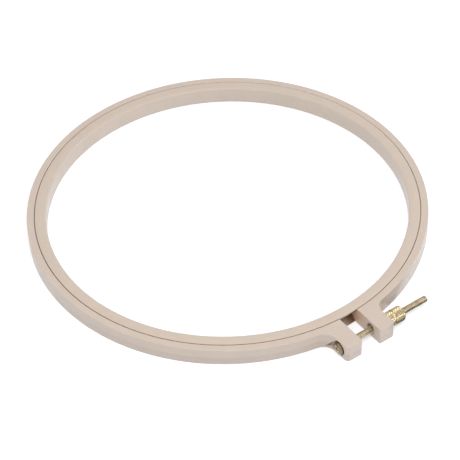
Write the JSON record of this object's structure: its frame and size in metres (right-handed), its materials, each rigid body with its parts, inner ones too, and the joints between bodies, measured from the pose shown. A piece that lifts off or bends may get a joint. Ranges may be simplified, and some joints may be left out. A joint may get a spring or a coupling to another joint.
{
  "type": "embroidery hoop",
  "caption": "Round embroidery hoop: a closed inner ring gripped by a split outer ring, drawn together at its lugs by a long cross-recess screw and a knurled nut.",
  "frame": {"origin": "centre of the hoop's opening, half way up the rings", "axes": "+Z along the rings' axis, up from the table; the clamp is towards -Y; the screw lies along X with its head towards -X and its free end towards +X"},
  "size_m": [0.238, 0.2541, 0.011],
  "materials": {
    "outer_ring_plastic": "satin moulded",
    "inner_ring_plastic": "satin moulded",
    "screw_brass": "dull plated, rolled thread",
    "nut_brass": "bright turned, diamond knurled"
  },
  "bodies": {
    "outer_ring": {"outer_ring": "outer_ring_plastic"},
    "inner_ring": {"inner_ring": "inner_ring_plastic"},
    "clamp_screw": {"clamp_screw": "screw_brass"},
    "knurled_nut": {"knurled_nut": "nut_brass"}
  },
  "joints": [
    {"name": "inner_ring_lift", "type": "slide", "parent": "outer_ring", "child": "inner_ring", "axis": [0, 0, 1], "range_m": [0, 0.03]},
    {"name": "screw_turn", "type": "hinge", "parent": "outer_ring", "child": "clamp_screw", "pos_m": [0, -0.1275, 0], "axis": [-1, 0, 0], "range_deg": [0, 14400]},
    {"name": "nut_travel", "type": "slide", "parent": "outer_ring", "child": "knurled_nut", "axis": [1, 0, 0], "range_m": [0, 0.02801]}
  ],
  "couplings": [
    {"joint": "nut_travel", "follows": "screw_turn", "m_per_rad": 0.00011141}
  ]
}
